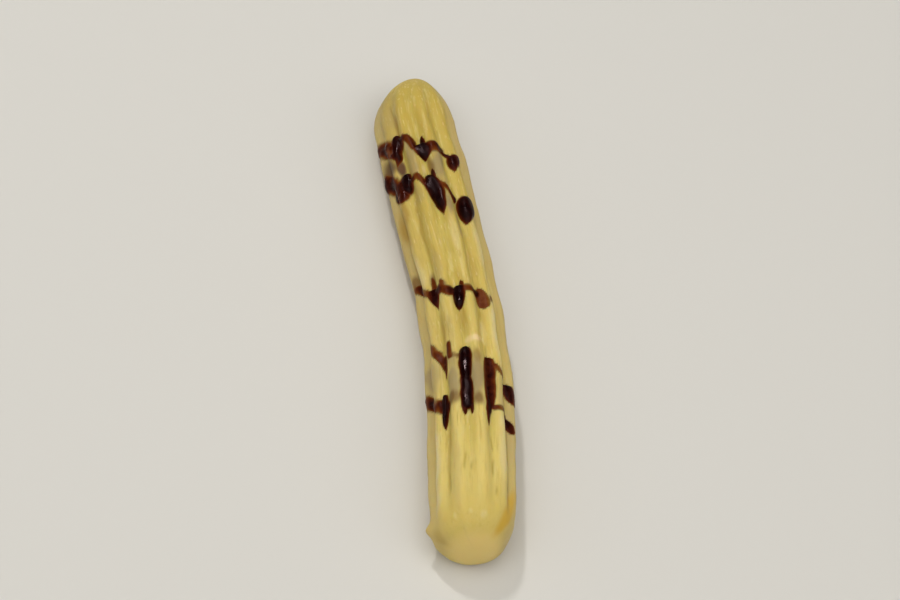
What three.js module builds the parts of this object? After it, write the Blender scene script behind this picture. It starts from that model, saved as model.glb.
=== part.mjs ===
import * as THREE from "three";

// A churro: a stick of dough piped through a star nozzle and fried, with chocolate sauce drizzled
// across it. Millimetres, +Z up. It lies on its flattened underside along Y, with the cut end at -Y
// and the domed end at +Y, and the origin is the bottom centre of its bounding box. Angles go round
// the stick from its top, positive towards +X.

const degree = THREE.MathUtils.DEG2RAD;

const stick = {
  nearTip: -60.2, // the tip of the cut end, along Y
  farTip: 58.3, // the tip of the domed end
  crestRadius: 8.96, // from the centreline to the crest of a ridge
  restDrop: 7.4, // from the centreline down to the flattened underside
  restBlend: 0.3, // how gently the sides turn into the underside
  bow: 3.87, // how far the middle lies to +X of the line between the two ends
};

// The bow is tighter on one side of the middle, by a wave along the stick.
const wander = { amount: 1.06, wavelength: 115, start: 13.7 };

const ridges = {
  count: 11,
  grooveDepth: 1.4,
  grooveSharpness: 1.3, // above 1 the crests are broader than the grooves
  grooveVariety: 0.16, // the share by which some grooves are deeper than others
  topGroove: -12.5 * degree, // the groove nearest the top
  sway: 1.5 * degree, // how far the grooves swing round the stick and back along it
  swayWavelength: 66,
  swayPeak: 19, // where along Y they have swung furthest to +X
  columns: 6, // faces across each ridge
};

// The uneven swelling of fried dough, as waves along the stick, some of them with turns round it.
const swelling = [
  { share: 0.0116, wavelength: 14, turns: 0, phase: -2.11 },
  { share: 0.0102, wavelength: 18, turns: 0, phase: -2.71 },
  { share: 0.0182, wavelength: 58, turns: 0, phase: -1.45 },
  { share: 0.0057, wavelength: 27, turns: 1, phase: -0.82 },
];

// An end is a superellipse: depth is its length along Y, and a higher squareness makes it flatter.
// Its underside reaches out by slant and its +X side by skew, for each millimetre from the centreline.
// Its tip lies to +X by aside. The grooves set in between smooth and ridged, measured from the tip.
const cutEnd = {
  depth: 8.3, squareness: 2.34, slant: 0.16, skew: 0.06, aside: 0.6, smooth: 2, ridged: 12, rings: 7,
};
const domedEnd = {
  depth: 15.1, squareness: 1.9, slant: 0.05, skew: 0.02, aside: 3.2, smooth: 0, ridged: 11, rings: 8,
};
const slantReach = 10; // the stretch of the body over which slant and skew set in

// The sauce crosses the stick in strands. place is where a strand crosses the top, and lean how much
// further along Y it is at the +X side. It runs together in the grooves: each pool is [groove, start,
// end], with the grooves counted from the one nearest the top.
const strands = [
  { place: 34.6, lean: -4.1, pools: [[-2, 34, 40], [-1, 31, 39], [0, 28, 37.3], [1, 27.3, 32.5]] },
  { place: 23.9, lean: -5.3, pools: [[-2, 23.5, 31], [-1, 22, 30], [0, 15.8, 27.5], [1, 13.2, 21.6]] },
  { place: -2.5, lean: -3, pools: [[-2, -0.5, 3], [-1, -7.5, 1.5], [0, -7.5, -1.2], [1, -6.9, -1.8]] },
  { place: -19, lean: -4.4, pools: [[-1, -23.5, -16.5], [0, -24.3, -16], [1, -27, -18.4], [2, -28.8, -23]] },
  { place: -29.8, lean: -2.6, pools: [[-1, -35, -26.5], [0, -33, -23], [1, -34.8, -25], [2, -36, -31.5]] },
];

const sauce = {
  reach: 100 * degree, // how far round from the top a strand goes
  strandHalfWidth: 1.5,
  overCrest: 0.35, // thickness over a crest
  bridging: 0.55, // the share of a groove's depth that a strand fills
  poolBelowCrest: 0.25, // a pool's surface, below the crests beside it
  strandRings: [-1.45, -1, 0, 1, 1.45], // rings across a strand
};

const ringSpacing = { amongStrands: 1.75, elsewhere: 4.6, margin: 5 }; // along Y

const half = (stick.farTip - stick.nearTip) / 2;
const nearRim = stick.nearTip + cutEnd.depth;
const farRim = stick.farTip - domedEnd.depth;
const pitch = (2 * Math.PI) / ridges.count;

function grooveAngle(groove, y) {
  const sway = ridges.sway * Math.cos((2 * Math.PI * (y - ridges.swayPeak)) / ridges.swayWavelength);
  return ridges.topGroove + groove * pitch + sway;
}

// 1 in the middle of a bump and 0 from its edge outwards, round on top.
const bump = (distance) => Math.sqrt(Math.max(0, 1 - distance * distance));

function centreline(y) {
  const wave = Math.sin((2 * Math.PI * (y - wander.start)) / wander.wavelength);
  return (1 - (y / half) ** 2) * (stick.bow - wander.amount * wave);
}

function crestRadius(angle, y) {
  let swell = 1;
  for (const { share, wavelength, turns, phase } of swelling) {
    swell += share * Math.sin((2 * Math.PI * y) / wavelength + turns * angle + phase);
  }
  return stick.crestRadius * swell;
}

// How far the dough lies below the crests: a row of rounded grooves, which run out towards the ends.
function grooveDepth(angle, y) {
  const { smoothstep } = THREE.MathUtils;
  const wave = 0.5 + 0.5 * Math.cos(ridges.count * (angle - grooveAngle(0, y)));
  const variety = 1 + ridges.grooveVariety * Math.sin(3 * angle + y / 21 + 0.6);
  const near = smoothstep(y - stick.nearTip, cutEnd.smooth, cutEnd.ridged);
  const far = smoothstep(stick.farTip - y, domedEnd.smooth, domedEnd.ridged);
  return ridges.grooveDepth * variety * near * far * wave ** ridges.grooveSharpness;
}

function sauceThickness(angle, y) {
  const groove = grooveDepth(angle, y);
  const strandThickness = (sauce.overCrest + sauce.bridging * groove) * bump(angle / sauce.reach);
  const poolThickness = Math.max(0, groove - sauce.poolBelowCrest);
  let thickness = 0;
  for (const { place, lean, pools } of strands) {
    const offLine = (y - place - lean * Math.sin(angle)) / sauce.strandHalfWidth;
    thickness = Math.max(thickness, strandThickness * bump(offLine));
    for (const [number, start, end] of pools) {
      if (Math.abs(angle - grooveAngle(number, y)) > pitch / 2) continue;
      const offMiddle = (2 * y - start - end) / (end - start);
      thickness = Math.max(thickness, poolThickness * Math.sqrt(bump(offMiddle)));
    }
  }
  return thickness;
}

// The underside is pressed flat: nothing lies lower than restDrop under the centreline.
function pressed(height) {
  const above = height + stick.restDrop;
  const blend = stick.restBlend;
  if (above <= -blend) return 0;
  return above < blend ? (above + blend) ** 2 / (4 * blend) : above;
}

// The rings lean as the strands do, so that each strand runs along them.
function leanAt(place) {
  const stops = [{ place: farRim, lean: 0 }, ...strands, { place: nearRim, lean: 0 }];
  const after = stops.findIndex((stop) => stop.place <= place);
  if (after < 1) return 0;
  const [far, near] = [stops[after - 1], stops[after]];
  return THREE.MathUtils.mapLinear(place, far.place, near.place, far.lean, near.lean);
}

// How far the slant and skew of the two ends move a point along Y. side is how far it lies to +X.
function endShift(place, side, height) {
  const { smoothstep } = THREE.MathUtils;
  const near = smoothstep(-place, -nearRim - slantReach, -nearRim);
  const far = smoothstep(place, farRim - slantReach, farRim);
  const outwards = (end) => end.skew * side - end.slant * (height - stick.restDrop);
  return far * outwards(domedEnd) - near * outwards(cutEnd);
}

// One ring round the stick. size is under 1 in an end, where the ring shrinks towards the tip and the
// grooves in it fade.
function ringPoints(place, size) {
  const points = [];
  const count = ridges.count * ridges.columns;
  const aside = (1 - size) * (place < 0 ? cutEnd : domedEnd).aside;
  for (let column = 0; column < count; column++) {
    const turned = grooveAngle(0, place) + (column / count) * 2 * Math.PI;
    const angle = Math.atan2(Math.sin(turned), Math.cos(turned));
    const y = place + leanAt(place) * Math.sin(angle);
    const dough = crestRadius(angle, y) - size * grooveDepth(angle, y);
    const radius = size * (dough + sauceThickness(angle, y));
    const side = radius * Math.sin(angle);
    const height = pressed(radius * Math.cos(angle));
    const x = centreline(y) + aside + side;
    points.push(new THREE.Vector3(x, y + endShift(place, side, height), height));
  }
  return points;
}

// The rings of one end, from beside its rim to its tip. side is -1 for the cut end, 1 for the domed one.
function endRings(end, rim, side) {
  const made = [];
  for (let step = 1; step <= end.rings; step++) {
    const turn = (step / (end.rings + 1)) * (Math.PI / 2);
    const out = end.depth * Math.sin(turn) ** (2 / end.squareness);
    made.push(ringPoints(rim + side * out, Math.cos(turn) ** (2 / end.squareness)));
  }
  return made;
}

// The rings between the two rims: some across each strand, and the gaps filled at a spacing.
function bodyRings() {
  const across = strands.flatMap(({ place }) => sauce.strandRings.map((offset) => place + offset));
  const first = Math.min(...across) - ringSpacing.margin;
  const last = Math.max(...across) + ringSpacing.margin;
  const stops = [nearRim, first, ...across.sort((a, b) => a - b), last, farRim];
  const made = [ringPoints(stops[0], 1)];
  for (let n = 1; n < stops.length; n++) {
    const gap = stops[n] - stops[n - 1];
    const spacing = stops[n] > first && stops[n] <= last ? ringSpacing.amongStrands : ringSpacing.elsewhere;
    const steps = Math.ceil(gap / spacing);
    for (let step = 1; step <= steps; step++) {
      made.push(ringPoints(stops[n - 1] + (gap * step) / steps, 1));
    }
  }
  return made;
}

// Joins the rings into one closed surface, with a single point at each tip.
function closedSurface(loops, nearPoint, farPoint) {
  const count = loops[0].length;
  const points = [...loops.flat(), nearPoint, farPoint];
  const nearTip = points.length - 2;
  const farTip = points.length - 1;
  const lastRow = (loops.length - 1) * count;
  const faces = [];
  for (let column = 0; column < count; column++) {
    const next = (column + 1) % count;
    for (let row = 0; row < lastRow; row += count) {
      faces.push(row + column, row + next, row + count + next);
      faces.push(row + column, row + count + next, row + count + column);
    }
    faces.push(nearTip, next, column);
    faces.push(farTip, lastRow + column, lastRow + next);
  }
  const geometry = new THREE.BufferGeometry().setFromPoints(points);
  geometry.setIndex(faces);
  return geometry;
}

function churroGeometry() {
  const nearRings = endRings(cutEnd, nearRim, -1).reverse();
  const loops = [...nearRings, ...bodyRings(), ...endRings(domedEnd, farRim, 1)];
  const geometry = closedSurface(loops, ringPoints(stick.nearTip, 0)[0], ringPoints(stick.farTip, 0)[0]);
  geometry.computeBoundingBox();
  const middle = geometry.boundingBox.getCenter(new THREE.Vector3());
  geometry.translate(-middle.x, -middle.y, -geometry.boundingBox.min.z);
  geometry.computeVertexNormals();
  return geometry;
}

const friedDough = new THREE.MeshStandardMaterial({ color: 0xcdb45f, roughness: 0.45, metalness: 0 });
const churro = new THREE.Mesh(churroGeometry(), friedDough);
churro.name = "churro";

const part = new THREE.Group();
part.add(churro);

export default part;
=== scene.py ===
# A churro: dough piped through a star nozzle and fried, with chocolate sauce drizzled across it.
# Shapes are worked out in millimetres and written in metres. The stick lies along Y. Angles go round
# it from its top, positive towards +X, and a place along it is called along.

import math

import bpy
import numpy as np
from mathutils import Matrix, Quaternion, Vector


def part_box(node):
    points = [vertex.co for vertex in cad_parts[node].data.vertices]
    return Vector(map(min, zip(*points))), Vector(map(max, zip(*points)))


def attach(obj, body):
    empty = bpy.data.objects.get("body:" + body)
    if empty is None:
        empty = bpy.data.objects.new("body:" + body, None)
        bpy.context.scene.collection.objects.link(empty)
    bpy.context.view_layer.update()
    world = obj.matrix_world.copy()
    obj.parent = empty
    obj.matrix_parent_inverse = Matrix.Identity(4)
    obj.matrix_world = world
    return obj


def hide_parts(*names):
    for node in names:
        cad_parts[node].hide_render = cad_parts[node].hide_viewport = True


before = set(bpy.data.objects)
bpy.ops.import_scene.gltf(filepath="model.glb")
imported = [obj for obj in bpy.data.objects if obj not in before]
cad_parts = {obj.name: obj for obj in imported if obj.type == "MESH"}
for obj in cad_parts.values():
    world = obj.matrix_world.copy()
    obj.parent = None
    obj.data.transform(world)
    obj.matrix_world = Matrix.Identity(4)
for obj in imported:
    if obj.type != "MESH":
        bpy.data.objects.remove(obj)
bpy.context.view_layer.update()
churroLow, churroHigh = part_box("churro")

millimetre = 0.001
degree = math.pi / 180


def linearColour(code):
    # sRGB hex to linear: c / 12.92 below 0.04045, else ((c + 0.055) / 1.055)^2.4
    parts = [int(code[i:i + 2], 16) / 255 for i in (1, 3, 5)]
    return tuple(c / 12.92 if c <= 0.04045 else ((c + 0.055) / 1.055) ** 2.4 for c in parts) + (1,)


def smoothStep(value, low, high):
    # 3t^2 - 2t^3, where t runs from 0 at low to 1 at high
    t = np.clip((value - low) / (high - low), 0, 1)
    return t * t * (3 - 2 * t)


def addNode(tree, kind, settings, inputs):
    # adds one node; an input that is a socket is linked and any other one is a value
    node = tree.nodes.new(kind)
    for name, value in settings.items():
        setattr(node, name, value)
    for key, value in inputs.items():
        if isinstance(value, bpy.types.NodeSocket):
            tree.links.new(value, node.inputs[key])
        else:
            node.inputs[key].default_value = value
    return node


def makePiece(name, points, faces, attributes, material):
    # points in mm; an attribute is one number or one vector for each point
    mesh = bpy.data.meshes.new(name)
    mesh.from_pydata((points * millimetre).tolist(), [], faces)
    mesh.polygons.foreach_set("use_smooth", np.ones(len(mesh.polygons), bool))
    for key, values in attributes.items():
        values = np.asarray(values, np.float32)
        kind, field = ("FLOAT", "value") if values.ndim == 1 else ("FLOAT_VECTOR", "vector")
        layer = mesh.attributes.new(key, kind, "POINT")
        layer.data.foreach_set(field, values.ravel())
    mesh.materials.append(material)
    mesh.update()
    piece = bpy.data.objects.new(name, mesh)
    bpy.context.collection.objects.link(piece)
    return piece


# The stick's form, which its solid has too.
stick = {
    "nearTip": -60.2,  # the tip of the cut end, along Y
    "farTip": 58.3,  # the tip of the domed end
    "crestRadius": 8.96,  # from the centreline to the crest of a ridge
    "restDrop": 7.4,  # from the centreline down to the flattened underside
    "restBlend": 0.3,  # how gently the sides turn into the underside
    "bow": 3.87,  # how far the middle lies to +X of the line between the two ends
    "wander": 1.06,  # a wave along it makes the bow tighter on one side of the middle
    "wanderWavelength": 115,
    "wanderStart": 13.7,
    "ridges": 11,
    "grooveDepth": 1.4,
    "grooveSharpness": 1.3,  # above 1 the crests are broader than the grooves
    "grooveVariety": 0.16,  # the share by which some grooves are deeper than others
    "varietyTurns": 3,  # how often that comes and goes round the stick
    "varietyReach": 21,  # how many mm along it turn it by a radian
    "varietyPhase": 0.6,
    "topGroove": -12.5 * degree,  # the groove nearest the top
    "sway": 1.5 * degree,  # how far the grooves swing round the stick and back along it
    "swayWavelength": 66,
    "swayPeak": 19,  # where along Y they have swung furthest to +X
    "swelling": [  # share of the radius, wavelength along the stick, turns round it, phase
        (0.0116, 14, 0, -2.11),
        (0.0102, 18, 0, -2.71),
        (0.0182, 58, 0, -1.45),
        (0.0057, 27, 1, -0.82),
    ],
    # An end is a superellipse, flatter for a higher squareness. Its underside reaches out by slant and
    # its +X side by skew for each millimetre from the centreline. Its tip lies to +X by aside. Its
    # grooves set in between smooth and ridged, measured from the tip.
    "cutEnd": {"depth": 8.3, "squareness": 2.34, "slant": 0.16, "skew": 0.06, "aside": 0.6,
               "smooth": 2, "ridged": 12},
    "domedEnd": {"depth": 15.1, "squareness": 1.9, "slant": 0.05, "skew": 0.02, "aside": 3.2,
                 "smooth": 0, "ridged": 11},
    "slantReach": 10,  # the stretch of the body over which slant and skew set in
}
half = (stick["farTip"] - stick["nearTip"]) / 2
pitch = 2 * math.pi / stick["ridges"]
nearRim = stick["nearTip"] + stick["cutEnd"]["depth"]
farRim = stick["farTip"] - stick["domedEnd"]["depth"]


def grooveAngle(number, along):
    # topGroove + number * pitch + sway * cos(2 pi (y - swayPeak) / swayWavelength)
    turn = 2 * math.pi * (along - stick["swayPeak"]) / stick["swayWavelength"]
    return stick["topGroove"] + number * pitch + stick["sway"] * np.cos(turn)


def centreline(along):
    # (1 - (y / half)^2) * (bow - wander * sin(2 pi (y - start) / wavelength))
    turn = 2 * math.pi * (along - stick["wanderStart"]) / stick["wanderWavelength"]
    return (1 - (along / half) ** 2) * (stick["bow"] - stick["wander"] * np.sin(turn))


def crestRadius(angle, along):
    # crestRadius * (1 + sum of share * sin(2 pi y / wavelength + turns * angle + phase))
    swell = 1
    for share, wavelength, turns, phase in stick["swelling"]:
        swell = swell + share * np.sin(2 * math.pi * along / wavelength + turns * angle + phase)
    return stick["crestRadius"] * swell


def grooveDepth(angle, along):
    # depth * (1 + variety * sin(turns a + y / reach + phase))
    # * (0.5 + 0.5 cos(ridges (a - grooveAngle)))^sharpness,
    # from nothing where an end is smooth to the whole where it is ridged
    near, far = stick["cutEnd"], stick["domedEnd"]
    wave = 0.5 + 0.5 * np.cos(stick["ridges"] * (angle - grooveAngle(0, along)))
    turn = stick["varietyTurns"] * angle + along / stick["varietyReach"] + stick["varietyPhase"]
    variety = 1 + stick["grooveVariety"] * np.sin(turn)
    fade = smoothStep(along - stick["nearTip"], near["smooth"], near["ridged"])
    fade = fade * smoothStep(stick["farTip"] - along, far["smooth"], far["ridged"])
    return stick["grooveDepth"] * variety * fade * wave ** stick["grooveSharpness"]


def pressed(height):
    # 0 below -blend, (h + blend)^2 / (4 blend) up to blend, else h, where h is measured from the rest
    above = height + stick["restDrop"]
    blend = stick["restBlend"]
    rounded = (above + blend) ** 2 / (4 * blend)
    return np.where(above <= -blend, 0, np.where(above < blend, rounded, above))


def straightened(angle, place, radius):
    # (r sin a, y, r cos a): the stick without its bow
    points = np.broadcast_arrays(radius * np.sin(angle), place, radius * np.cos(angle))
    return np.stack(points, axis=-1)


def endShift(place, side, height):
    # far * outwards(domedEnd) - near * outwards(cutEnd), outwards = skew * side - slant * (z - restDrop)
    near = smoothStep(-place, -nearRim - stick["slantReach"], -nearRim)
    far = smoothStep(place, farRim - stick["slantReach"], farRim)

    def outwards(end):
        return end["skew"] * side - end["slant"] * (height - stick["restDrop"])

    return far * outwards(stick["domedEnd"]) - near * outwards(stick["cutEnd"])


def stickPoints(angle, place, size, radius):
    # x = centreline + aside (1 - size) + r sin a, z = pressed(r cos a), y = place + endShift
    aside = np.where(place < 0, stick["cutEnd"]["aside"], stick["domedEnd"]["aside"])
    side = radius * np.sin(angle)
    height = pressed(radius * np.cos(angle))
    x = centreline(place) + aside * (1 - size) + side
    y = place + endShift(place, side, height)
    return np.stack(np.broadcast_arrays(x, y, height), axis=-1)


def stickNoise(angle, along, layer):
    # amount * value noise from -1 to 1, wrapped round the stick: corner values blended by 3t^2 - 2t^3.
    # layer is amount, the size of a cell round the stick and along it in mm, and a seed. The cells
    # reach a little past both ends
    amount, roundSize, alongSize, seed = layer
    reach = half * 1.2
    cells = max(3, round(2 * math.pi * stick["crestRadius"] / roundSize))
    rows = math.ceil(2 * reach / alongSize) + 2
    corners = np.random.default_rng(seed).uniform(-1, 1, (rows, cells))
    u = angle / (2 * math.pi) % 1 * cells
    v = (along + reach) / alongSize
    u, v = np.broadcast_arrays(u, v)
    column = np.floor(u).astype(int)
    row = np.clip(np.floor(v).astype(int), 0, rows - 2)
    s = smoothStep(u - column, 0, 1)
    t = smoothStep(v - row, 0, 1)
    column %= cells
    after = (column + 1) % cells
    low = corners[row, column] * (1 - s) + corners[row, after] * s
    high = corners[row + 1, column] * (1 - s) + corners[row + 1, after] * s
    return amount * (low * (1 - t) + high * t)


patchEdge = {
    "unevenness": (0.3, 2, 2.5, 43),  # as a layer of stickNoise
    "whole": 0.4,  # a patch has its whole strength up to this share of its half sizes
    "gone": 1.2,  # and none from this one on
}


def patchShade(angle, along, patches):
    # the largest strength * (1 - smoothStep(distance + noise)) of the patches, each of them angle,
    # along, half sizes in degrees and mm, and strength
    shade = np.zeros(np.broadcast(angle, along).shape)
    uneven = stickNoise(angle, along, patchEdge["unevenness"])
    for middle, place, halfTurn, halfLength, strength in patches:
        distance = np.hypot((angle / degree - middle) / halfTurn, (along - place) / halfLength)
        fade = smoothStep(distance + uneven, patchEdge["whole"], patchEdge["gone"])
        shade = np.maximum(shade, strength * (1 - fade))
    return shade


def offGroove(angle, along):
    # how far round the stick, in mm, from the middle of the nearest groove
    turns = (angle - grooveAngle(0, along)) / pitch
    return (turns - np.round(turns)) * pitch * stick["crestRadius"]


# The dough's surface.
dough = {
    "columnsPerRidge": 24,
    "ringSpacing": 0.44,  # along the body
    "endRings": 62,  # over each end
    # layers of unevenness: height in mm, the size of a cell round the stick and along it, and a seed
    "ridgeVariety": (0.14, 5.2, 17, 3),  # how much one ridge stands above the next
    "lumps": (0.13, 3.4, 5, 4),
    "smallLumps": (0.052, 1.6, 2.6, 5),
    "nozzleLines": (0.03, 0.75, 9, 8),  # fine lines drawn along the ridges
    "blisters": (1, 0.95, 1.3, 6),  # the small blisters of frying
    "blisterFrom": 0.58,  # they rise where their layer is above this
    "blisterHeight": 0.3,
    "blisterGroups": (0.5, 9, 14, 7),
    "crease": 0.06,  # how deep the thin fold along the bottom of each groove is at most
    "creaseWidth": 0.45,
    "creaseMean": 0.6,  # the share of that depth that is usual
    "creaseVariety": (0.4, 6, 8, 9),
    # what is left towards the ends: side (-1 is the cut end), from and to in mm from the middle, and
    # the share lost
    "fading": {
        "depth": [(-1, 36, 44, 0.35), (1, 41, 48, 0.35)],
        "crease": [(-1, 33, 41, 1), (1, 38, 46, 0.7)],
        # the grooves' painted shade
        "grooveShade": [(-1, 34, 42, 0.7), (1, 38, 46, 0.5)],
        "streaks": [(-1, 34, 42, 0.45), (-1, 46, 54, 0.3)],
        "nearShade": [(1, -50, 40, 1), (-1, 48, 56, 0.4)],
    },
    "shallow": [  # patches where the grooves are shallower, each with the share lost
        (-10, 7.5, 14, 8, 0.5),
        (22, -47, 14, 8, 0.3),
    ],
    "bumps": [  # a flake, broad swells and dents, and small nibs: angle, along, half width, height
        (-95, -54.6, 1.15, 1.0),
        (-102, -57, 3.5, 0.7),
        (95, -57.5, 3.5, -0.7),
        (-40, -56.2, 0.45, 0.2),
        (-14, -56.0, 0.4, 0.2),
        (12, -56.7, 0.5, 0.2),
    ],
    "tanLeft": (45, 85),  # degrees round where the left flank's greyer tan sets in
    # degrees round where the right flank's painted shade sets in
    "tanRight": (42, 62),
    "tanRightShare": 1.2,  # how much stronger the right flank's painted shade is than the left flank's tan
    "tan": 0.35,  # least, and how much its patches add
    "tanPatches": 0.45,
    "patches": (0.5, 7, 12, 31),  # a layer of broad patches for the flank tone and shade, the grooves' painted shade and the underside
    "under": (95, 140),  # degrees round where the underside sets in, golden in patches
    "goldenAbove": 0.99,  # only rings larger than this are golden beneath, so that the ends aren't
    "goldenSide": {  # a golden band near the cut end, which leans by lean degrees for each mm
        "angle": 51.35, "along": -54.5, "lean": 2.7, "halfTurn": 13, "halfLength": 7.5,
        "whole": 0.4, "gone": 1.1, "strength": 0.85,
    },
    "cutFace": (6.2, 8),  # where the cut face sets in, in mm past the rim
    "stainReach": 0.3,  # a stain shows beside the sauce where its surface is less than this below
    "dashes": {  # dark lines along parts of the deep grooves
        "width": 0.2, "wander": (0.5, 6, 5, 41), "deeperThan": 0.6,
        "lengths": (1, 4, 4.5, 42), "from": 0.35, "whole": 0.7, "strength": 0.6,
    },
    "crackWidth": 0.28,
    "crackStrength": 0.55,
    "crackTaper": 2,  # how long its two ends are
    "crackSway": 0.15,  # how far it swings to either side
    "crackTurns": 0.8,  # radians of that swing for each mm
    "cracks": [  # thin and dark, near the cut end: angle, far end, near end
        (-18.5, -40.5, -46.5),
        (-9, -43, -47),
        (22, -42.5, -48.2),
        (-41.5, -44.5, -51.5),
        (27, -49.5, -53),
    ],
    # patches: angle, along, half sizes in degrees and mm, strength
    # browner patches: fried spots, and painted shade under the cut end (at 180°), along its left bevel (at
    # -82°) and along the groove at -44°
    "brownedAndShaded": [
        (-73, 15, 11, 6, 0.55),
        (-45, 42.3, 5, 3.5, 0.75),
        (-61, 20, 9, 4, 0.65),
        (-44, 15, 5, 9, 0.5),
        (-44, -11, 6, 5, 0.45),
        (-44, -42, 4, 9, 0.45),
        (-82, -58.0, 12, 2.4, 0.4),
        (23, 5, 5, 7, 0.5),
        (-12, -7, 6, 5, 0.4),
        (21, -9, 6, 4, 0.35),
        (-80, 17.5, 10, 6, 0.85),
        (180, -60, 80, 4, 0.6),
    ],
    "paleAndSheen": [  # pale patches: on the crests at 3°, 20° and 37° a painted sheen, the small ones along the cut rim painted highlights at the ridges' ends, and at -63° and -66° paler dough
        (-36, -56.1, 3, 0.9, 0.35),
        (-12, -55.9, 4, 0.8, 0.35),
        (7, -56.6, 5, 0.8, 0.35),
        (-63, 5, 10, 5, 0.6),
        (3, 11, 6, 6, 0.35),
        (37, 10, 7, 7, 0.6),
        (37, -11, 7, 9, 0.85),
        (20, -12, 6, 3, 0.4),
        (37, -41, 7, 11, 0.7),
        (-66, -43, 11, 11, 0.95),
    ],
    "smear": [  # where sauce was wiped thin
        (-72, 32.7, 20, 3.4, 0.9),
        (-51, 30.6, 6, 3.6, 1),
    ],
    "dulledAndShaded": [  # crests with a greyish film, between strands; the three at about -30° along 2, -12 and -48 are painted shade on that crest instead
        (-56, 46, 22, 8, 0.35),
        (-68, 31.8, 12, 3.6, 0.85),
        (-31, 2, 7, 7, 0.3),
        (-29, -12, 6, 5, 0.3),
        (-29, -48, 7, 11, 0.25),
        (-30, 32, 10, 5, 0.7),
        (6, 29.5, 13, 5, 0.85),
        (10, 24, 6, 3, 0.45),
        (15, 14, 7, 4, 0.5),
        (6, 19.5, 7, 3.5, 0.9),
        (-32, 23, 8, 3, 0.35),
        (-80, -20, 16, 5, 0.8),
        (-62, -22, 10, 5, 0.6),
        (-31, -23.5, 11, 6, 0.85),
        (1, -24.3, 12, 6, 0.9),
        (37, -27, 8, 5, 0.4),
    ],
    "films": [  # faint brown films of sauce
        (-50, 31.2, 5, 2.2, 0.5),
        (-87, 4.4, 7, 2, 0.75),
        (-30, -0.3, 7, 1.2, 0.75),
        (37.5, -4.5, 4, 1.2, 0.9),
        (3, -19.2, 8, 2, 0.45),
        (-35, -27.9, 8, 1.6, 0.8),
        (-28, -28.3, 8, 1.6, 0.7),
        (-47, 1.5, 5, 2.4, 0.6),
        (2, -29.2, 9, 1.8, 0.75),
        (-6, 29.8, 5, 3, 0.6),
    ],
    "paintedSheen": [  # a painted oily sheen: pale pinkish patches
        (-5, -14.9, 7, 0.8, 0.6),
        (5, -14.7, 7, 0.9, 0.95),
        (14, -14.2, 6, 0.7, 0.7),
        (-16, 29, 3, 1.5, 0.5),
    ],
}


def fading(name, along):
    # 1 - the sum of share * smoothStep(side * along)
    left = 1
    for side, start, end, share in dough["fading"][name]:
        left = left - share * smoothStep(side * along, start, end)
    return left


def doughRelief(angle, along):
    # ridge variety + lumps + blisters + nozzle lines - creases + bumps, in mm
    def layer(name):
        return stickNoise(angle, along, dough[name])

    relief = layer("ridgeVariety") + layer("lumps") + layer("smallLumps") + layer("nozzleLines")
    blisters = np.maximum(0, layer("blisters") - dough["blisterFrom"]) * (0.5 + layer("blisterGroups"))
    relief = relief + dough["blisterHeight"] * blisters
    strength = (dough["creaseMean"] + layer("creaseVariety")) * fading("crease", along)
    across = offGroove(angle, along) / dough["creaseWidth"]
    relief = relief - dough["crease"] * strength * np.exp(-across ** 2)
    for turn, place, halfWidth, height in dough["bumps"]:
        off = np.hypot((angle - turn * degree) * stick["crestRadius"], along - place) / halfWidth
        relief = relief + height * np.exp(-off ** 2)
    return relief


def doughRadius(angle, along, size):
    # size * (crest + size * (relief - groove * what is left of it))
    left = np.minimum(fading("depth", along), 1 - patchShade(angle, along, dough["shallow"]))
    relief = doughRelief(angle, along) - grooveDepth(angle, along) * left
    return size * (crestRadius(angle, along) + size * relief)


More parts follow.
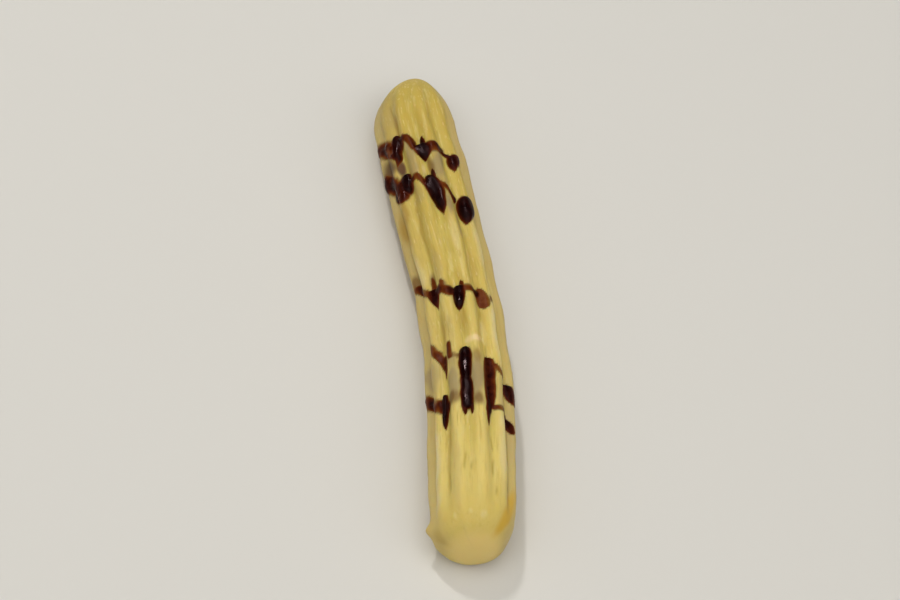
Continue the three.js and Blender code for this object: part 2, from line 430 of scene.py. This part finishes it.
# The sauce, as a height above the dough at each place.
# pools are [groove, start, end, half width, fill, rise, belly, turn, taper]: from start to end along
# the groove, widest at belly (0 at start, 1 at end). fill is the share of the groove's depth that is
# filled, and rise stands above that. turn moves the pool round the stick in degrees, from its start to
# its end. A low taper gives blunt ends.
# strokes are [half width, fill, rise, patchy, (angle, along), ...] and cross the ridges.
sauce = {
    "reach": (-106, 106, -39.5, 46),  # the part of the stick it is on: degrees round, then mm along
    "roundSpacing": 0.13,
    "alongSpacing": 0.18,
    # layers of unevenness: amount in mm, the size of a cell round the stick and along it, and a seed
    "edgeRound": (0.22, 1.5, 1.8, 22),  # how far its edges wander round the stick
    "edgeAlong": (0.352, 1.4, 2.4, 23),
    "ripples": (0.012, 1.3, 1.7, 24),
    "smallRipples": (0.006, 0.7, 0.9, 25),
    "rippledFrom": 0.15,  # the thickness from which it has its whole ripples
    "gaps": (0.5, 1.1, 1.1, 21),  # how patchy strokes break up
    "flatness": 3,  # above 2 the tops of the pools are flatter than round
    "strokeFlatness": 2.2,
    "crownPlace": 0.4,  # where along a pool it stands highest
    "crownReach": 0.8,  # how far along from there its rise would have run out
    "thinning": 1.4,  # above 1 a pool gets thin only in the narrower part of its tips
    "endFall": 8,  # how steeply it falls off past its start and its end
    "merging": 0.12,  # how softly pools and strokes run together
    "sinking": 0.5,  # how steeply its surface dips into the dough beyond its edges
    "cutOff": -0.16,  # its surface goes on to this depth in the dough
    "deepest": -0.25,
    "underside": 0.4,  # how deep in the dough its hidden underside lies
    "smoothFrom": 0.5,  # the thickness from which its top doesn't follow the dough's lumps
    "shine": 0.32,
    "shineVariety": (0.4, 1.5, 1.7, 51),
    "smallShineVariety": (0.2, 0.7, 0.8, 52),
    "shinesFrom": (0.12, 0.3),  # thinner sauce is dull
    "wet": [  # patches where it shines most, as the dough's
        (-14, -19.3, 8, 2.2, 1),
        (-14, -22.6, 8, 1.6, 1),
        (-11, -4.3, 7, 1.6, 1),
        (-40, 25.5, 8, 2, 0.8),
    ],
    "pools": [
        # the strand nearest the domed end
        [-1, 30.9, 39.8, 1.25, 0.55, 0.2, 0.75, (-9, -2), 1.4],
        [0, 31.1, 35.5, 1.85, 0.6, 0.3, 0.66, (2, 1), 1.15],
        [0, 34.4, 38.1, 0.6, 0.3, 0.1, 0.3, (4, 5), 1.1],
        [1, 28.1, 32.7, 1.75, 0.6, 0.36, 0.74, (8, 16), 1.3],
        # the second one
        [-1, 24.0, 29.4, 1.4, 0.6, 0.35, 0.6, (-4, 0), 1.0],
        [0, 17.0, 27.4, 1.8, 0.6, 0.4, 0.64, (8, 0), 1.3],
        [0, 26, 28.8, 0.5, 0.3, 0.1, 0.35, (7, 7), 1.1],
        [1, 14.4, 22.0, 2.5, 0.6, 0.8, 0.7, (6, 20), 1.4],
        # the middle one
        [-1, -5.7, -0.2, 1.4, 0.5, 0.1, 0.72, (0, -5), 1.4],
        [0, -7.0, -1.2, 1.5, 0.85, 0.2, 0.68, (0, 5), 1.0],
        [0, -1.6, 0.1, 0.45, 0.3, 0.05, 0.35, (9, 9), 1.0],
        [-1, -2.4, 2.8, 0.8, 0.12, 0.02, 0.35, (1, -3), 1.0],
        [1, -6.7, -1.7, 1.3, 0.06, 0.045, 0.45, (7, 3), 1.0],
        [2, -4.7, -3.5, 0.55, 0.2, 0.02, 0.5, (-13, -13), 0.8],
        # the last two, which run together in the grooves
        [-1, -22.4, -17.3, 0.75, 0.2, 0.0, 0.7, (1, 3), 1.1],
        [0, -25.2, -16.4, 1.35, 0.85, 0.2, 0.6, (-1, 1), 0.5],
        [0, -31.2, -22.6, 1.42, 0.75, 0.25, 0.42, (-1, -1), 0.5],
        [0, -32.8, -28.6, 0.55, 0.4, 0.1, 0.6, (-6, -6), 0.9],
        [0, -32.5, -28.6, 0.5, 0.4, 0.1, 0.6, (4, 4), 0.9],
        [1, -30.9, -19.0, 1.35, 0.23, 0.11, 0.5, (0, 1.5), 0.4],
        [1, -34.6, -29, 0.8, 0.4, 0.08, 0.7, (-3, -2), 0.9],
        [2, -28.3, -23.8, 1.8, 0.5, 0.2, 0.5, (18, 4), 0.9],
        [-1, -34.5, -26, 0.7, 0.6, 0.15, 0.65, (-4, -3), 1.0],
        [2, -35.3, -31.9, 1.1, 0.35, 0.1, 0.5, (11, 1), 0.9],
    ],
    "strokes": [
        # the strand nearest the domed end
        [2.0, 0.15, 0.28, 0.2, (-100, 40.3), (-86, 39.2), (-72, 38.1), (-58, 37.3), (-48, 37.2)],
        [1.3, 0.2, 0.35, 0.3, (-67, 35.8), (-57, 35.2), (-53, 34.6)],
        [0.85, 0.4, 0.15, 0, (-45, 38.2), (-36, 38.3), (-30, 37.7), (-25, 36.2), (-21, 34.8), (-14, 34)],
        [1.3, 0.3, 0.26, 0.06, (-8, 34), (2, 34.2), (9, 34.3), (14, 33.8)],
        [0.45, 0.3, 0.07, 0, (14, 33.6), (20, 32.8), (28, 32)],
        # the second one
        [2.3, 0.15, 0.5, 0.25, (-88, 30.4), (-74, 28.2), (-62, 26.2), (-50, 26)],
        [1.2, 0.2, 0.4, 0.15, (-48, 27.5), (-54, 25), (-58, 23.2)],
        [0.8, 0.2, 0.3, 0.1, (-74, 27), (-77, 24.9)],
        [0.75, 0.3, 0.1, 0, (-40, 26.9), (-37, 27.1), (-29.5, 27.1), (-22, 25.6), (-18, 25)],
        [0.75, 0.3, 0.1, 0, (-2, 24.4), (8.3, 23.4), (13, 22.5), (20, 21.3)],
        # the middle one
        [0.9, 0.2, 0.08, 0.05, (-90, 3), (-85, 2.6), (-72, 0.8), (-63, -0.4), (-52, -1.2)],
        [1.1, 0.4, 0.2, 0, (-42, -1.4), (-34, -1.4), (-28, -1.9), (-20, -2.6)],
        [0.5, 0.2, 0.1, 0, (-31.5, 0.2), (-31.5, -1.5)],
        [1.0, 0.3, 0.1, 0.03, (-4, -2.2), (6, -2.4), (13, -2.4), (18, -3)],
        # the fourth one
        [0.95, 0.03, 0.075, 0, (-75, -13.1), (-66, -14.3), (-56, -16.1)],
        [0.75, 0.1, 0.09, 0, (-57, -15.8), (-50, -18), (-46, -19.9)],
        [0.65, 0.2, 0.12, 0, (-35, -15.1), (-34, -17.9)],
        [0.6, 0.1, -0.05, 0, (-28, -18), (-22, -18.5)],
        [0.5, 0.15, 0.03, 0, (28, -21.3), (36, -22.7), (50, -23.9)],
        # the one nearest the cut end
        [1.5, 0.3, 0.2, 0.14, (-104, -23.2), (-90, -25.4), (-67, -27.8), (-53, -29), (-46, -29.3)],
        [0.55, 0.2, 0.03, 0, (26, -30.6), (34.7, -30.6), (45.5, -30.9), (50, -31.7)],
        [0.45, 0.1, 0.06, 0, (50, -28.5), (52, -31), (56, -33)],
    ],
}


def smoothMax(first, second, blend):
    # max(a, b) + max(blend - |a - b|, 0)^2 / (4 blend)
    near = np.maximum(blend - np.abs(first - second), 0)
    return np.maximum(first, second) + near ** 2 / (4 * blend)


def poolHeight(angle, along, groove, pool):
    # (fill * groove + rise * crown) * min(1, thinning w / half width) * (1 - |across / w|^flatness
    # - endFall * beyond), where w = half width * (v / b)^(t b) * ((1 - v) / (1 - b))^(t (1 - b)) for
    # belly b and taper t, and crown = 1 - ((v - crownPlace) / crownReach)^2
    number, start, end, halfWidth, fill, rise, belly, turn, taper = pool
    v = np.clip((along - start) / (end - start), 0, 1)
    width = halfWidth * (v / belly) ** (taper * belly) * ((1 - v) / (1 - belly)) ** (taper * (1 - belly))
    middle = grooveAngle(number, along) + (turn[0] + (turn[1] - turn[0]) * v) * degree
    across = np.abs(angle - middle) * stick["crestRadius"] / np.maximum(width, 0.05)
    beyond = np.maximum(0, np.maximum(start - along, along - end)) / halfWidth
    profile = 1 - np.minimum(across, 3) ** sauce["flatness"] - sauce["endFall"] * beyond
    profile = np.clip(profile, -1, 1)
    crown = 1 - ((v - sauce["crownPlace"]) / sauce["crownReach"]) ** 2
    fullness = np.minimum(1, sauce["thinning"] * width / halfWidth)
    thickness = (fill * groove + rise * crown) * fullness
    return np.where(profile > 0, thickness, sauce["sinking"]) * profile


def strokeHeight(angle, along, groove, stroke):
    # (fill * groove + |rise|) * (1 - (d / halfWidth)^strokeFlatness) - gaps, where d is the distance to
    # the stroke's line; a negative rise sinks it by twice as much
    halfWidth, fill, rise, patchy = stroke[:4]
    stops = [(a * degree * stick["crestRadius"], y) for a, y in stroke[4:]]
    x = angle * stick["crestRadius"]
    distance = np.full(np.broadcast(angle, along).shape, 99.0)
    for (x0, y0), (x1, y1) in zip(stops, stops[1:]):
        dx, dy = x1 - x0, y1 - y0
        t = np.clip(((x - x0) * dx + (along - y0) * dy) / (dx * dx + dy * dy), 0, 1)
        distance = np.minimum(distance, np.hypot(x - x0 - t * dx, along - y0 - t * dy))
    profile = np.clip(1 - (distance / halfWidth) ** sauce["strokeFlatness"], -1, 1)
    thickness = fill * groove + abs(rise)
    gaps = patchy * (0.5 + stickNoise(angle, along, sauce["gaps"]))
    return np.where(profile > 0, thickness, sauce["sinking"]) * profile + 2 * min(rise, 0) - gaps


def sauceHeight(angle, along):
    # the smooth maximum of all pools and strokes, at places shifted a little so that edges are uneven,
    # + ripples
    movedAngle = angle + stickNoise(angle, along, sauce["edgeRound"]) / stick["crestRadius"]
    movedAlong = along + stickNoise(angle, along, sauce["edgeAlong"])
    groove = grooveDepth(angle, along)
    height = np.full(movedAngle.shape, -1.0)
    for pool in sauce["pools"]:
        height = smoothMax(height, poolHeight(movedAngle, movedAlong, groove, pool), sauce["merging"])
    for stroke in sauce["strokes"]:
        height = smoothMax(height, strokeHeight(movedAngle, movedAlong, groove, stroke), sauce["merging"])
    ripples = stickNoise(angle, along, sauce["ripples"]) + stickNoise(angle, along, sauce["smallRipples"])
    return height + ripples * np.clip(height / sauce["rippledFrom"], 0, 1)


def straightPattern(tree, sizes, kind, inputs):
    # one texture, laid on the straightened stick, whose features are sizes mm along X, Y and Z
    place = addNode(tree, "ShaderNodeAttribute", {"attribute_name": "straight"}, {})
    scale = tuple(1 / size for size in sizes)
    mapping = addNode(tree, "ShaderNodeMapping", {}, {"Vector": place.outputs["Vector"], "Scale": scale})
    return addNode(tree, kind, {}, {"Vector": mapping.outputs["Vector"], "Scale": 1, **inputs})


def newMaterial(name):
    material = bpy.data.materials.new(name)
    material.use_nodes = True
    material.node_tree.nodes.clear()
    return material, material.node_tree


# Fried choux dough: waxy, a little translucent and nearly matt, with pale and deep streaks along it.
doughFinish = {
    "shades": {
        "near": "#DFC975",  # towards the cut end
        "far": "#C5AB50",  # towards the domed end
        # painted shade in the grooves, laid darker where they are deeper
        "groove": "#CDB75C",
        "pale": "#DFCC88",  # the pale streaks
        "deep": "#BBA14B",  # the deep ones
        "tan": "#C2AC74",  # greyer tan on the left flank, and painted shade on the right flank's shadow side
        "golden": "#D0A73A",  # the patches that fried longest
        # fried spots, and painted shade under the cut end, on its left bevel and along one groove
        "brownedAndShaded": "#AE8B3C",
        # a painted sheen on crests, painted highlights at the ridges' ends, and paler dough
        "paleAndSheen": "#DDCC94",
        "cut": "#E3C97C",
        "dash": "#A0862F",  # thin dark cracks and lines in the grooves
        # a greyish film of sauce, and painted shade on the crest at about -30°
        "dulledAndShaded": "#A08C62",
        "smear": "#5C4028",
        # a painted oily sheen
        "paintedSheen": "#EBD3A0",
        "stain": "#6B4318",  # dough under the thinnest sauce and beside its edges
    },
    "patterns": {  # the size of its features in mm across the stick and along it, and its detail
        "streaks": (0.8, 11, 3),
        "deepStreaks": (0.6, 7, 2),
        "clouds": (4, 9, 2),
        "flecks": (0.4, 2.6, 2),
        "specks": (0.5, 0.8, 2),
        "grain": (0.25, 0.4, 2),  # pores, finer in real dough and so coarse here that they show
    },
    # Layers over the near shade, in order. Each is a shade that is laid by its own attribute, or else
    # by a pattern that sets in from one number to the next, up to the last.
    "layers": [
        ["far"],
        ["groove"],
        ["deep", "deepStreaks", 0.5, 0.75, 0.7],
        ["pale", "streaks", 0.5, 0.75, 0.6],
        ["pale", "flecks", 0.6, 0.72, 0.7],
        ["deep", "clouds", 0.5, 0.75, 0.35],
        ["tan"],
        ["golden"],
        ["brownedAndShaded"],
        ["paleAndSheen"],
        ["cut"],
        ["deep", "specks", 0.6, 0.75, 0.25],
        ["dash"],
        ["dulledAndShaded"],
        ["smear"],
        ["paintedSheen"],
        ["stain"],
    ],
    "bumpStrength": 0.5,
    "poreDepth": 0.05,  # mm
    "streakDepth": 0.12,
    "roughness": 0.55,
    "specular": 0.25,
    "translucency": 0.6,
    "lightDepth": 1.8,  # how far light goes into it, in mm
    "lightTint": (1.0, 0.6, 0.25),
}


def friedDough():
    material, tree = newMaterial("friedDough")
    shades = {name: linearColour(code) for name, code in doughFinish["shades"].items()}
    patterns = {}
    for name, (across, along, detail) in doughFinish["patterns"].items():
        patterns[name] = straightPattern(tree, (across, along, across), "ShaderNodeTexNoise",
                                         {"Detail": detail}).outputs["Fac"]

    def attribute(name):
        return addNode(tree, "ShaderNodeAttribute", {"attribute_name": name}, {}).outputs["Fac"]

    def graded(name, low, high, most):
        grade = addNode(tree, "ShaderNodeMapRange", {"interpolation_type": "SMOOTHSTEP"}, {
            "Value": patterns[name], "From Min": low, "From Max": high, "To Max": most})
        calmed = addNode(tree, "ShaderNodeMath", {"operation": "MULTIPLY"}, {
            0: grade.outputs["Result"], 1: attribute("streaky")})
        return calmed.outputs[0]

    colour = shades["near"]
    for shade, *pattern in doughFinish["layers"]:
        amount = graded(*pattern) if pattern else attribute(shade)
        mix = addNode(tree, "ShaderNodeMix", {"data_type": "RGBA"}, {
            0: amount, 6: colour, 7: shades[shade]})
        colour = mix.outputs[2]

    pores = addNode(tree, "ShaderNodeBump", {}, {
        "Strength": doughFinish["bumpStrength"],
        "Distance": doughFinish["poreDepth"] * millimetre,
        "Height": patterns["grain"]})
    lines = addNode(tree, "ShaderNodeBump", {}, {
        "Strength": doughFinish["bumpStrength"],
        "Distance": doughFinish["streakDepth"] * millimetre,
        "Height": patterns["streaks"],
        "Normal": pores.outputs["Normal"]})
    shader = addNode(tree, "ShaderNodeBsdfPrincipled", {}, {
        "Base Color": colour,
        "Roughness": doughFinish["roughness"],
        "IOR": 1.45,
        "Specular IOR Level": doughFinish["specular"],
        "Subsurface Weight": doughFinish["translucency"],
        "Subsurface Radius": doughFinish["lightTint"],
        "Subsurface Scale": doughFinish["lightDepth"] * millimetre,
        "Normal": lines.outputs["Normal"]})
    addNode(tree, "ShaderNodeOutputMaterial", {}, {"Surface": shader.outputs["BSDF"]})
    return material


# Dark chocolate sauce: poured and set to a gloss, nearly black where thick, red-brown where thin.
sauceFinish = {
    "shades": [  # thickness in mm, colour
        (0, "#84622E"),
        (0.05, "#703A10"),
        (0.12, "#5E2805"),
        (0.24, "#431403"),
        (0.5, "#260602"),
        (1, "#120101"),
    ],
    "patchSize": (0.9, 1.4, 0.9),  # patches in which it looks thicker or thinner, in mm
    "patchRange": (0.3, 0.7),
    "patchVariety": 0.4,
    "rippleSize": (0.9, 1.8, 0.9),
    "rippleStrength": 0.12,
    "rippleDepth": 0.1,
    "roughness": 0.12,
    "dullRoughness": 0.4,
    "specular": 0.09,
    "specularTint": "#FFDCDF",
}


def chocolateSauce():
    material, tree = newMaterial("chocolateSauce")
    thickness = addNode(tree, "ShaderNodeAttribute", {"attribute_name": "thickness"}, {})
    patches = straightPattern(tree, sauceFinish["patchSize"], "ShaderNodeTexNoise", {"Detail": 3})
    low, high = sauceFinish["patchRange"]
    centred = addNode(tree, "ShaderNodeMapRange", {}, {
        "Value": patches.outputs["Fac"], "From Min": low, "From Max": high,
        "To Min": 1 - sauceFinish["patchVariety"], "To Max": 1 + sauceFinish["patchVariety"]})
    varied = addNode(tree, "ShaderNodeMath", {"operation": "MULTIPLY"}, {
        0: thickness.outputs["Fac"], 1: centred.outputs["Result"]})
    ramp = addNode(tree, "ShaderNodeValToRGB", {}, {"Fac": varied.outputs[0]})
    stops = sauceFinish["shades"]
    while len(ramp.color_ramp.elements) < len(stops):
        ramp.color_ramp.elements.new(0.5)
    for element, (position, code) in zip(ramp.color_ramp.elements, stops):
        element.position = position
        element.color = linearColour(code)
    wet = addNode(tree, "ShaderNodeAttribute", {"attribute_name": "wet"}, {})
    dulling = addNode(tree, "ShaderNodeMapRange", {}, {
        "Value": wet.outputs["Fac"],
        "To Min": sauceFinish["dullRoughness"],
        "To Max": sauceFinish["roughness"]})
    ripples = straightPattern(tree, sauceFinish["rippleSize"], "ShaderNodeTexNoise", {"Detail": 1})
    bump = addNode(tree, "ShaderNodeBump", {}, {
        "Strength": sauceFinish["rippleStrength"],
        "Distance": sauceFinish["rippleDepth"] * millimetre,
        "Height": ripples.outputs["Fac"]})
    shader = addNode(tree, "ShaderNodeBsdfPrincipled", {}, {
        "Base Color": ramp.outputs["Color"],
        "Roughness": dulling.outputs["Result"],
        "IOR": 1.5,
        "Specular IOR Level": sauceFinish["specular"],
        "Specular Tint": linearColour(sauceFinish["specularTint"]),
        "Normal": bump.outputs["Normal"]})
    addNode(tree, "ShaderNodeOutputMaterial", {}, {"Surface": shader.outputs["BSDF"]})
    return material


def stickShift():
    # the move that puts the plain stick's box on the solid's box, in mm
    angle = np.linspace(-math.pi, math.pi, 361)[None, :]
    place = np.linspace(nearRim, farRim, 300)[:, None]
    radius = crestRadius(angle, place) - grooveDepth(angle, place)
    points = stickPoints(angle, place, 1, radius)
    middle = (churroLow + churroHigh) / 2 / millimetre
    x = middle.x - (points[..., 0].min() + points[..., 0].max()) / 2
    y = middle.y - (stick["nearTip"] + stick["farTip"]) / 2
    return np.array([x, y, churroLow.z / millimetre])


def doughRings():
    # place and size of each ring: the body's at an even spacing, an end's by out = depth sin^(2/q),
    # size = cos^(2/q), at equal turns
    turns = np.arange(1, dough["endRings"] + 1) / (dough["endRings"] + 1) * math.pi / 2
    steps = math.ceil((farRim - nearRim) / dough["ringSpacing"])
    body = np.linspace(nearRim, farRim, steps + 1)

    def end(form, rim, side):
        out = form["depth"] * np.sin(turns) ** (2 / form["squareness"])
        return rim + side * out, np.cos(turns) ** (2 / form["squareness"])

    nearPlace, nearSize = end(stick["cutEnd"], nearRim, -1)
    farPlace, farSize = end(stick["domedEnd"], farRim, 1)
    place = np.concatenate([nearPlace[::-1], body, farPlace])
    size = np.concatenate([nearSize[::-1], np.ones(len(body)), farSize])
    return place, size


def closedFaces(rows, columns):
    # quads between the rings and a fan at each tip, whose two points come after the rings' points
    column = np.arange(columns)
    beside = (column + 1) % columns
    start = (np.arange(rows - 1) * columns)[:, None]
    first, after = start + column, start + beside
    quads = np.stack([first, after, after + columns, first + columns], axis=-1).reshape(-1, 4)
    nearTip, farTip = rows * columns, rows * columns + 1
    lastRow = (rows - 1) * columns
    nearFan = np.stack([np.full(columns, nearTip), beside, column], axis=-1)
    farFan = np.stack([np.full(columns, farTip), lastRow + column, lastRow + beside], axis=-1)
    return quads.tolist() + nearFan.tolist() + farFan.tolist()


def dashShade(angle, place):
    # exp(-(d / width)^2) along parts of the deep grooves and across each crack
    form = dough["dashes"]
    across = (offGroove(angle, place) - stickNoise(angle, place, form["wander"])) / form["width"]
    line = np.exp(-across ** 2) * (grooveDepth(angle, place) > form["deeperThan"])
    lengths = smoothStep(stickNoise(angle, place, form["lengths"]), form["from"], form["whole"])
    shade = form["strength"] * line * lengths
    sway = dough["crackSway"] * np.sin(dough["crackTurns"] * place)
    taper = dough["crackTaper"]
    for turn, end, start in dough["cracks"]:
        across = ((angle - turn * degree) * stick["crestRadius"] + sway) / dough["crackWidth"]
        ends = smoothStep(place, start, start + taper) * (1 - smoothStep(place, end - taper, end))
        shade = np.maximum(shade, dough["crackStrength"] * ends * np.exp(-across ** 2))
    return shade


def flankToneAndShade(angle, patches):
    # (left + share * right) * (strength + more in patches), not on the underside: a greyer tan on the left
    # flank and painted shade on the right one
    left = smoothStep(-angle / degree, *dough["tanLeft"])
    right = smoothStep(angle / degree, *dough["tanRight"])
    under = smoothStep(abs(angle) / degree, *dough["under"])
    strength = dough["tan"] + dough["tanPatches"] * patches
    return (left + dough["tanRightShare"] * right) * strength * (1 - under)


def goldenShade(angle, place, size, patches):
    # the larger of the underside's patches, which stay off the ends, and the side's band of
    # strength * (1 - smoothStep(distance))
    under = smoothStep(abs(angle) / degree, *dough["under"]) * patches
    under = under * (size > dough["goldenAbove"])
    band = dough["goldenSide"]
    off = place - band["along"]
    distance = np.hypot((angle / degree - band["angle"] - band["lean"] * off) / band["halfTurn"],
                        off / band["halfLength"])
    return np.maximum(under, band["strength"] * (1 - smoothStep(distance, band["whole"], band["gone"])))


def stainShade(angle, place):
    # (1 + height / reach)^2 beside the sauce, all of it beneath, or else the films
    height = sauceHeight(*np.broadcast_arrays(angle, place))
    start, end = sauce["reach"][2:]
    beside = np.clip((height + dough["stainReach"]) / dough["stainReach"], 0, 1) ** 2
    return np.maximum(beside * ((place > start) & (place < end)), patchShade(angle, place, dough["films"]))


def makeDough(shift):
    place, size = doughRings()
    rows, columns = len(place), stick["ridges"] * dough["columnsPerRidge"]
    angle = (np.arange(columns) / columns * 2 * math.pi - math.pi)[None, :]
    place, size = place[:, None], size[:, None]
    radius = doughRadius(angle, place, size)
    tips = np.array([stick["nearTip"], stick["farTip"]])
    points = np.concatenate([stickPoints(angle, place, size, radius).reshape(-1, 3),
                             stickPoints(0, tips, 0, np.zeros(2))]) + shift
    straight = np.concatenate([straightened(angle, place, radius).reshape(-1, 3),
                               straightened(0, tips, np.zeros(2))])

    def pointValues(values, atTips=(0, 0)):
        return np.concatenate([np.broadcast_to(values, (rows, columns)).ravel(), atTips])

    groove = size * grooveDepth(angle, place) / stick["grooveDepth"]
    patches = 0.5 + stickNoise(angle, place, dough["patches"])
    attributes = {
        "straight": straight,
        "far": pointValues(1 - fading("nearShade", place)),
        "streaky": pointValues(fading("streaks", place)),
        # painted shade in the grooves: darker where they are deeper, in patches, and less towards the ends
        "groove": pointValues(groove * (0.5 + 0.5 * patches) * fading("grooveShade", place)),
        "tan": pointValues(flankToneAndShade(angle, patches)),
        "golden": pointValues(goldenShade(angle, place, size, patches)),
        "cut": pointValues(smoothStep(nearRim - place, *dough["cutFace"]), (1, 0)),
        "dash": pointValues(dashShade(angle, place)),
        "stain": pointValues(stainShade(angle, place)),
    }
    for shade in ("brownedAndShaded", "paleAndSheen", "smear", "paintedSheen", "dulledAndShaded"):
        attributes[shade] = pointValues(patchShade(angle, place, dough[shade]))
    piece = makePiece("doughStick", points, closedFaces(rows, columns), attributes, friedDough())
    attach(piece, "root")
    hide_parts("churro")
    print("dough:", len(piece.data.polygons), "faces")


def sauceCells(height):
    # the cells with sauce: any corner above cutOff; a pair that only touches at a corner is joined
    inside = height > sauce["cutOff"]
    cells = inside[:-1, :-1] | inside[1:, :-1] | inside[:-1, 1:] | inside[1:, 1:]
    cells[[0, -1], :] = False
    cells[:, [0, -1]] = False
    while True:
        a, b, c, d = cells[:-1, :-1], cells[:-1, 1:], cells[1:, :-1], cells[1:, 1:]
        falling = a & d & ~b & ~c
        rising = b & c & ~a & ~d
        if not (falling.any() or rising.any()):
            return cells
        cells[:-1, 1:] |= falling
        cells[:-1, :-1] |= rising


def skinFaces(cells, number, below):
    # each cell's top and bottom, and a wall at each side where it has no neighbour. number is that of
    # a top point, and the bottom point under it has below more
    corner = [
        number[:-1, :-1][cells],
        number[:-1, 1:][cells],
        number[1:, 1:][cells],
        number[1:, :-1][cells],
    ]
    top = np.stack(corner, axis=-1)
    parts = [top, top[:, ::-1] + below]
    padded = np.pad(cells, 1)
    sides = [
        (0, 1, padded[:-2, 1:-1]),
        (1, 2, padded[1:-1, 2:]),
        (2, 3, padded[2:, 1:-1]),
        (3, 0, padded[1:-1, :-2]),
    ]
    for begin, finish, neighbour in sides:
        edge = ~neighbour[cells]
        p, q = corner[begin][edge], corner[finish][edge]
        parts.append(np.stack([q, p, p + below, q + below], axis=-1))
    return np.concatenate(parts)


def makeSauce(shift):
    lowAngle, highAngle, start, end = sauce["reach"]
    arc = (highAngle - lowAngle) * degree * stick["crestRadius"]
    angle = np.linspace(lowAngle, highAngle, round(arc / sauce["roundSpacing"]))[None, :] * degree
    place = np.linspace(start, end, round((end - start) / sauce["alongSpacing"]))[:, None]
    angle, place = np.broadcast_arrays(angle, place)
    height = sauceHeight(angle, place)
    under = doughRadius(angle, place, 1)
    smooth = crestRadius(angle, place) - grooveDepth(angle, place)
    over = under + (smooth - under) * smoothStep(height, 0, sauce["smoothFrom"])
    over = over + np.maximum(height, sauce["deepest"])
    top = stickPoints(angle, place, 1, over).reshape(-1, 3)
    bottom = stickPoints(angle, place, 1, under - sauce["underside"]).reshape(-1, 3)
    number = np.arange(height.size).reshape(height.shape)
    faces = skinFaces(sauceCells(height), number, height.size)
    used, faces = np.unique(faces, return_inverse=True)
    points = np.concatenate([top, bottom])[used] + shift
    straight = straightened(angle, place, over).reshape(-1, 3)

    def pointValues(values):
        return np.concatenate([values.ravel(), np.zeros(height.size)])[used]

    shine = sauce["shine"] + stickNoise(angle, place, sauce["shineVariety"])
    shine = shine + stickNoise(angle, place, sauce["smallShineVariety"])
    shine = np.maximum(shine, patchShade(angle, place, sauce["wet"]))
    shine = shine * smoothStep(height, *sauce["shinesFrom"])
    attributes = {
        "straight": np.concatenate([straight, straight])[used],
        "thickness": pointValues(height),
        "wet": np.clip(pointValues(shine), 0, 1),
    }
    piece = makePiece("chocolateSauce", points, faces.reshape(-1, 4).tolist(), attributes, chocolateSauce())
    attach(piece, "root")
    print("sauce:", len(piece.data.polygons), "faces")


# A plain pale floor, soft lights and the camera, in metres and degrees. An azimuth of 0 looks from
# the side of the cut end, and a negative one from further to -X.
studio = {
    "floorSize": 3,
    "floorColour": "#D9D6CF",
    "lights": [  # name, azimuth, elevation, distance, size, power in watts, colour
        ("window", 201, 55, 1.0, (0.05, 0.09), 2.6, "#FFFFFF"),
        ("softbox", -20, 62, 1.3, (1.6, 1.2), 8.8, "#FFFDF8"),
        ("top", 170, 80, 1.3, (0.9, 0.5), 2.5, "#FFFDF8"),
        ("sideLeft", -85, 40, 1.3, (0.9, 0.9), 1.7, "#F8FAFF"),
        ("sideRight", 60, 45, 1.3, (0.9, 0.9), 2.8, "#FFFBF4"),
    ],
    "airColour": "#E9EBEE",
    "airStrength": 0.16,
    "aim": (0.00012, 0.00095, 0.0079),  # what the lights and the camera look at
    "azimuth": -20.25,  # of the camera, as are the rest
    "elevation": 55.23,
    "distance": 0.5908,
    "roll": 15.2,
    "lens": 112,
    "sensor": 36,
}


def directionFrom(azimuth, elevation):
    # (sin a cos e, -cos a cos e, sin e)
    a, e = azimuth * degree, elevation * degree
    return Vector((math.sin(a) * math.cos(e), -math.cos(a) * math.cos(e), math.sin(e)))


def makeFloor():
    # matt painted board, evenly diffuse
    side = studio["floorSize"] / millimetre / 2
    corners = np.array([(-side, -side, 0), (side, -side, 0), (side, side, 0), (-side, side, 0)])
    material, tree = newMaterial("matteBoard")
    shader = addNode(tree, "ShaderNodeBsdfPrincipled", {}, {
        "Base Color": linearColour(studio["floorColour"]), "Roughness": 0.9})
    addNode(tree, "ShaderNodeOutputMaterial", {}, {"Surface": shader.outputs["BSDF"]})
    floor = makePiece("floor", corners, [[0, 1, 2, 3]], {}, material)


def makeLight(name, azimuth, elevation, distance, size, power, colour):
    data = bpy.data.lights.new(name, "AREA")
    data.shape = "RECTANGLE"
    data.size, data.size_y = size
    data.energy = power
    data.color = linearColour(colour)[:3]
    light = bpy.data.objects.new(name, data)
    bpy.context.collection.objects.link(light)
    direction = directionFrom(azimuth, elevation)
    light.location = Vector(studio["aim"]) + direction * distance
    light.rotation_mode = "QUATERNION"
    light.rotation_quaternion = (-direction).to_track_quat("-Z", "Y")


def makeStudio():
    makeFloor()
    for light in studio["lights"]:
        makeLight(*light)
    world = bpy.data.worlds.new("studioAir")
    world.use_nodes = True
    background = world.node_tree.nodes["Background"]
    background.inputs["Color"].default_value = linearColour(studio["airColour"])
    background.inputs["Strength"].default_value = studio["airStrength"]
    bpy.context.scene.world = world
    bpy.context.scene.view_settings.view_transform = "Standard"
    print("studio ready")


def makeCamera():
    data = bpy.data.cameras.new("camera")
    data.lens = studio["lens"]
    data.sensor_width = studio["sensor"]
    camera = bpy.data.objects.new("camera", data)
    bpy.context.collection.objects.link(camera)
    direction = directionFrom(studio["azimuth"], studio["elevation"])
    camera.location = Vector(studio["aim"]) + direction * studio["distance"]
    roll = Quaternion((0, 0, 1), studio["roll"] * degree)
    camera.rotation_mode = "QUATERNION"
    camera.rotation_quaternion = (-direction).to_track_quat("-Z", "Y") @ roll
    data.clip_start, data.clip_end = 0.01, 10
    bpy.context.scene.camera = camera


makeStudio()
makeCamera()
shift = stickShift()
makeDough(shift)
makeSauce(shift)
